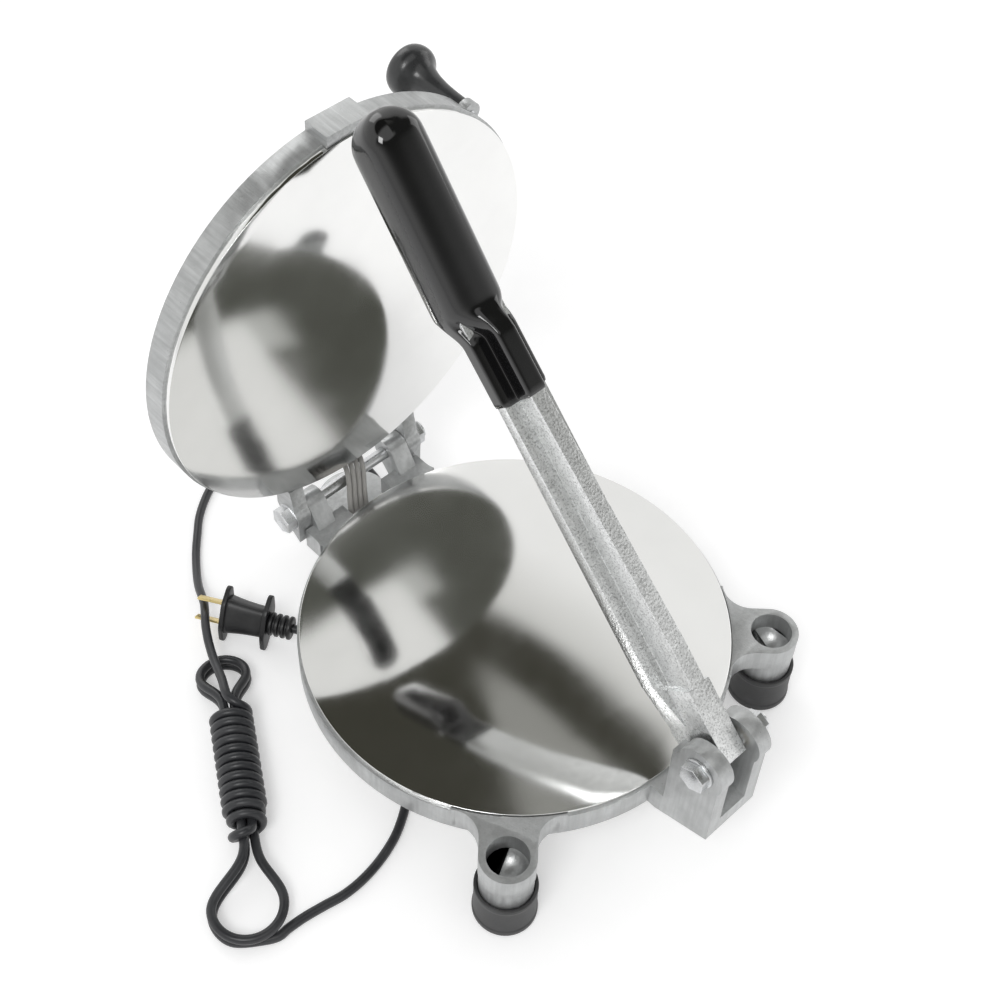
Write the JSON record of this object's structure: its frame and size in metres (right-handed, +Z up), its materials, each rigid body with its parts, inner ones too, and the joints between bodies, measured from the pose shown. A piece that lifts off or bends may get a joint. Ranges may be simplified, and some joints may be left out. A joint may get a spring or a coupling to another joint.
{
  "type": "electric roti maker",
  "caption": "Round countertop press with two heated polished plates, a hinged lid with a knob, a long gripped press lever in a fork, cup feet and a hanked mains cord.",
  "frame": {"origin": "on the floor, under the middle of the object's box without its cord", "axes": "+Z up; -Y to the front, where the lever's fork is; +Y to the hinge; +X to the right seen from the front"},
  "size_m": [0.3669, 0.4257, 0.3725],
  "materials": {
    "cast": "satin sand casting with a fine grain",
    "plate": "turned and polished to a mirror",
    "lever": "rough cast, speckled, flange faces bright",
    "grip": "dipped black vinyl, glossy",
    "knob": "satin moulded phenolic",
    "hardware": "bright zinc plate",
    "sheet": "brushed sheet",
    "element": "heat-tinted sheath",
    "rubber": "matt black rubber with a fine speckle",
    "ceramic": "unglazed",
    "bakelite": "moulded phenolic",
    "sleeving": "woven glass sleeving",
    "cord": "dark grey PVC sheath",
    "plug": "moulded black PVC",
    "brass": "stamped, a little dulled"
  },
  "bodies": {
    "base": {"base_casting": "cast", "lower_plate": "plate", "lower_plate_screws": "hardware", "lower_element": "element", "lower_clamp": "sheet", "lower_clamp_screws": "hardware", "bottom_cover": "sheet", "bottom_cover_screws": "hardware", "terminal_block": "ceramic", "thermostat": "bakelite", "earth_screw": "brass", "base_leads": "sleeving", "cord_gland": "plug", "rubber_feet": "rubber", "hinge_bolt": "hardware", "hinge_nut": "hardware", "lever_bolt": "hardware", "lever_washers": "hardware", "lever_nut": "hardware", "link_leads": "sleeving", "cord_lead": "cord", "cord_hank": "cord", "cord_tail": "cord", "plug_body": "plug", "plug_blades": "brass"},
    "lid": {"lid_casting": "cast", "upper_plate": "plate", "upper_plate_screws": "hardware", "upper_element": "element", "upper_clamp": "sheet", "upper_clamp_screws": "hardware", "lid_cover": "sheet", "lid_cover_screws": "hardware", "knob": "knob", "knob_screw": "hardware", "lead_bush": "ceramic"},
    "lever": {"lever_arm": "lever", "lever_grip": "grip", "lever_bush": "brass"}
  },
  "joints": [
    {"name": "lid_hinge", "type": "hinge", "parent": "base", "child": "lid", "pos_m": [0, 0.13323, 0.066], "axis": [1, 0, 0], "range_deg": [0, 88], "deforming": ["link_leads"]},
    {"name": "lever_swing", "type": "hinge", "parent": "base", "child": "lever", "pos_m": [0, -0.16927, 0.107], "axis": [1, 0, 0], "range_deg": [0, 80]}
  ],
  "couplings": [
    {"joint": "lever_swing", "follows": "lid_hinge", "ratio": 0.9}
  ]
}
